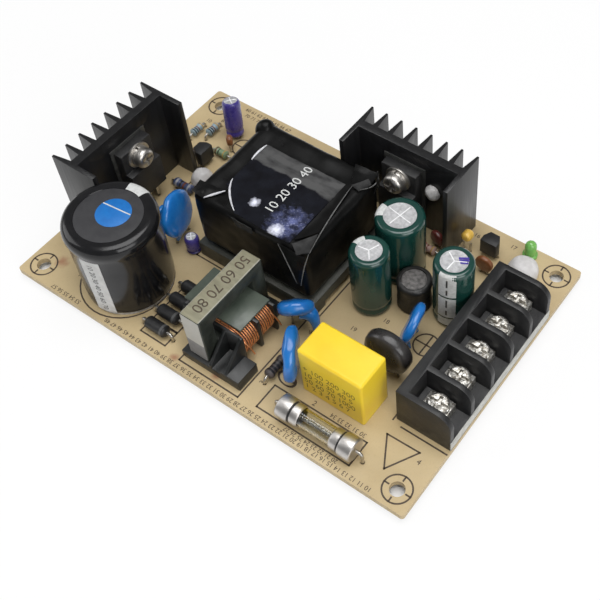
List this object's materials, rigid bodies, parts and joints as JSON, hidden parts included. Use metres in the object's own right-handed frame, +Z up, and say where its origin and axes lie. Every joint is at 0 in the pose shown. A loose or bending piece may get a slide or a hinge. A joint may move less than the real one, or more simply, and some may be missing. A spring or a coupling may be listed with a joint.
{
  "type": "open frame power supply",
  "caption": "Open frame power supply board with finned heatsinks, wrapped transformer, line choke, capacitors, glass fuse and a screw terminal block.",
  "frame": {"origin": "middle of the board's length and depth, at the lowest points of the solder joints", "axes": "+X along the long edges of the board towards the terminal block, +Y across the board towards the heatsink with the output rectifier, +Z up from the solder side to the component side"},
  "size_m": [0.118, 0.0776, 0.0286],
  "materials": {
    "board": "phenolic paper laminate, matt tan with dark print",
    "solder": "tin solder, satin",
    "heatsink": "black anodised extrusion",
    "tin_wire": "tinned copper wire",
    "insulator": "thin grey insulating sheet",
    "device_moulding": "moulded epoxy, matt black",
    "screw_metal": "nickel plated steel",
    "can_metal": "drawn aluminium can",
    "black_sleeve": "black shrink sleeve, semi gloss",
    "top_disc": "dark grey disc, matt",
    "blue_sticker": "blue round sticker",
    "white_label": "white paper strip",
    "ferrite": "dark grey ferrite",
    "dark_plastic": "dark moulded bobbin plastic",
    "copper_wire": "enamelled copper wire",
    "black_tape": "black glossy wrapping tape",
    "gloss_film": "clear film over black tape",
    "coated_core": "powdered iron core with a pale coat",
    "grey_sheet": "grey green insulating sheet",
    "yellow_resin": "yellow plastic case, glossy",
    "clear_glass": "clear glass tube",
    "plated_cap": "nickel plated brass cap",
    "blue_resin": "dipped blue resin, glossy",
    "black_resin": "black resin, satin",
    "green_sleeve": "dark green shrink sleeve",
    "black_housing": "black moulded housing",
    "plated_steel": "worn nickel plated steel",
    "pale_strip": "pale strip, bare",
    "green_lens": "clear green lamp resin",
    "resistor_coat": "resistor coating with colour rings",
    "violet_sleeve": "violet shrink sleeve",
    "orange_resin": "dipped brown orange resin",
    "white_silicone": "white silicone, soft gloss"
  },
  "bodies": {
    "root": {"circuit_board": "board", "solder_joints": "solder", "primary_heatsink": "heatsink", "secondary_heatsink": "heatsink", "heatsink_pins": "tin_wire", "primary_switch_pad": "insulator", "primary_switch": "device_moulding", "primary_switch_leads": "tin_wire", "output_rectifier_pad": "insulator", "output_rectifier": "device_moulding", "output_rectifier_leads": "tin_wire", "device_washers": "screw_metal", "device_screws": "screw_metal", "bulk_capacitor_can": "can_metal", "bulk_capacitor_sleeve": "black_sleeve", "bulk_capacitor_disc": "top_disc", "bulk_capacitor_sticker": "blue_sticker", "bulk_capacitor_label": "white_label", "bulk_capacitor_pins": "tin_wire", "transformer_core": "ferrite", "transformer_bobbin": "dark_plastic", "transformer_winding": "copper_wire", "transformer_tape": "black_tape", "transformer_label": "gloss_film", "transformer_pins": "tin_wire", "choke_core": "coated_core", "choke_bobbin": "dark_plastic", "choke_windings": "copper_wire", "choke_plate": "grey_sheet", "choke_pins": "tin_wire", "film_capacitor": "yellow_resin", "fuse_glass": "clear_glass", "fuse_element": "tin_wire", "fuse_inner_caps": "plated_cap", "fuse_end_caps": "plated_cap", "fuse_leads": "tin_wire", "disc_capacitors": "blue_resin", "thermistor": "black_resin", "output_capacitor_cans": "can_metal", "output_capacitor_sleeves": "green_sleeve", "drum_core": "ferrite", "drum_sleeve": "black_sleeve", "radial_leads": "tin_wire", "terminal_housing": "black_housing", "terminal_plates": "plated_steel", "terminal_screws": "plated_steel", "terminal_pins": "tin_wire", "terminal_label": "pale_strip", "lamp": "green_lens", "rectifier_diodes": "black_resin", "rectifier_diode_leads": "tin_wire", "resistors": "resistor_coat", "resistor_leads": "tin_wire", "violet_capacitor_cans": "can_metal", "violet_capacitor_sleeves": "violet_sleeve", "small_ceramic_parts": "orange_resin", "moulded_transistors": "black_resin", "small_part_leads": "tin_wire", "silicone_beads": "white_silicone"}
  },
  "joints": []
}
